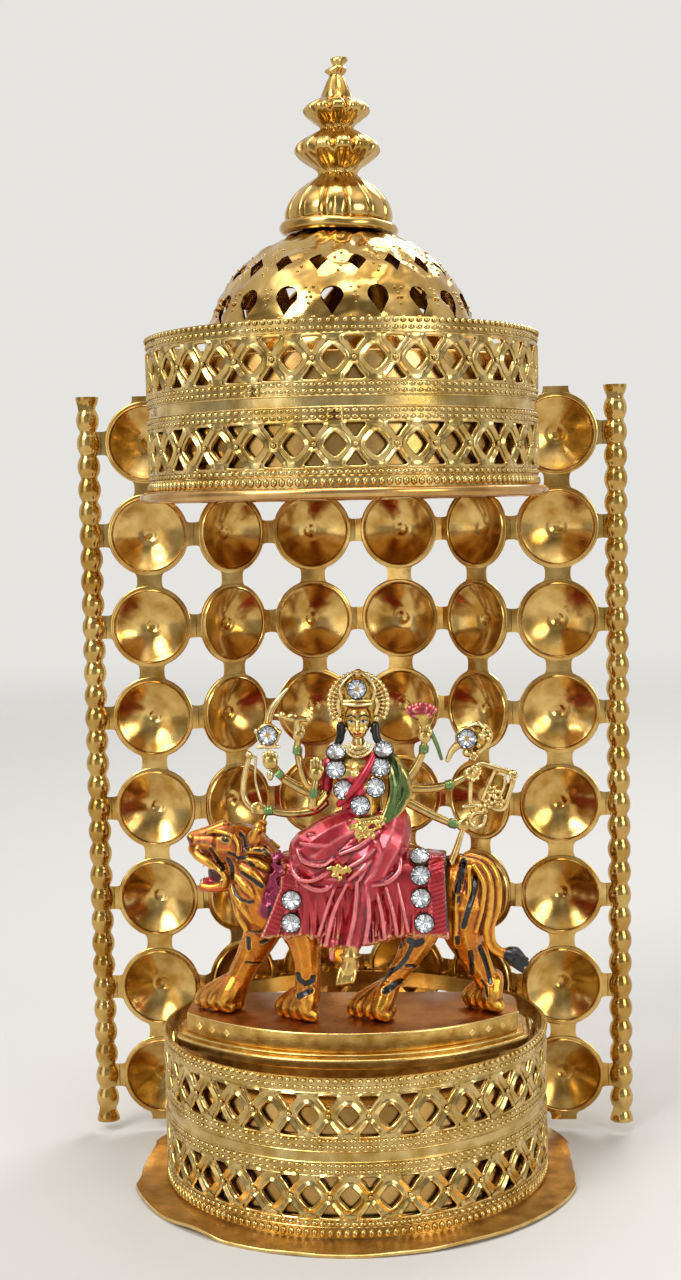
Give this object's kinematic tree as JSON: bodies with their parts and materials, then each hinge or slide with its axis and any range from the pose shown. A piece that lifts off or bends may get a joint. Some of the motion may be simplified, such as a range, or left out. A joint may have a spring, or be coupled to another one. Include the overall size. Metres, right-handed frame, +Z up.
{
  "type": "miniature domed temple shrine",
  "caption": "Tabletop metal shrine: domed canopy and cup screen over an enamelled deity seated on a tiger, on a round lattice drum.",
  "frame": {"origin": "point on the table under the centre of the round drums, at the underside of the base plate", "axes": "+Z up along the drum axis, -Y towards the front where the figure faces, +X to the viewer's right, the tiger's head towards -X"},
  "size_m": [0.0972, 0.076, 0.1856],
  "materials": {
    "base_sheet": "brushed and lacquered sheet",
    "plain_can": "polished gold plate",
    "lattice_strip": "polished pale gold plate, pressed",
    "cast_gold": "gold-plated casting, slightly grainy",
    "cup_sheet": "bright gold plate, stamped",
    "roof_sheet": "rolled sheet, pinkish gold",
    "tiger_enamel": "glossy orange enamel with black stripes over gold",
    "cloth_enamel": "glossy crimson enamel",
    "figure_gold": "gold-plated casting with painted details",
    "lotus_enamel": "glossy red enamel",
    "clear_stone": "faceted glass stone with a foiled back"
  },
  "bodies": {
    "root": {"base_plate": "base_sheet", "base_can": "plain_can", "base_band_front": "lattice_strip", "base_band_right": "lattice_strip", "base_band_back": "lattice_strip", "base_band_left": "lattice_strip", "pedestal": "cast_gold", "screen_column_1": "cup_sheet", "screen_column_2": "cup_sheet", "screen_column_3": "cup_sheet", "screen_column_4": "cup_sheet", "screen_column_5": "cup_sheet", "screen_column_6": "cup_sheet", "bead_strip_left": "cup_sheet", "bead_strip_right": "cup_sheet", "canopy_plate": "roof_sheet", "canopy_can": "plain_can", "canopy_band_front": "lattice_strip", "canopy_band_right": "lattice_strip", "canopy_band_back": "lattice_strip", "canopy_band_left": "lattice_strip", "dome": "cup_sheet", "finial_collar": "cup_sheet", "finial": "cup_sheet", "tiger_body": "tiger_enamel", "tiger_head": "tiger_enamel", "tiger_forelegs": "tiger_enamel", "tiger_hindlegs": "tiger_enamel", "tiger_tail": "tiger_enamel", "saddle_cloth": "cloth_enamel", "skirt": "cloth_enamel", "torso": "cloth_enamel", "head": "figure_gold", "crown": "figure_gold", "left_arms": "figure_gold", "right_arms": "figure_gold", "sword": "figure_gold", "bow": "figure_gold", "thunderbolt": "figure_gold", "lotus": "lotus_enamel", "mace": "figure_gold", "lance": "figure_gold", "stones": "clear_stone"}
  },
  "joints": []
}
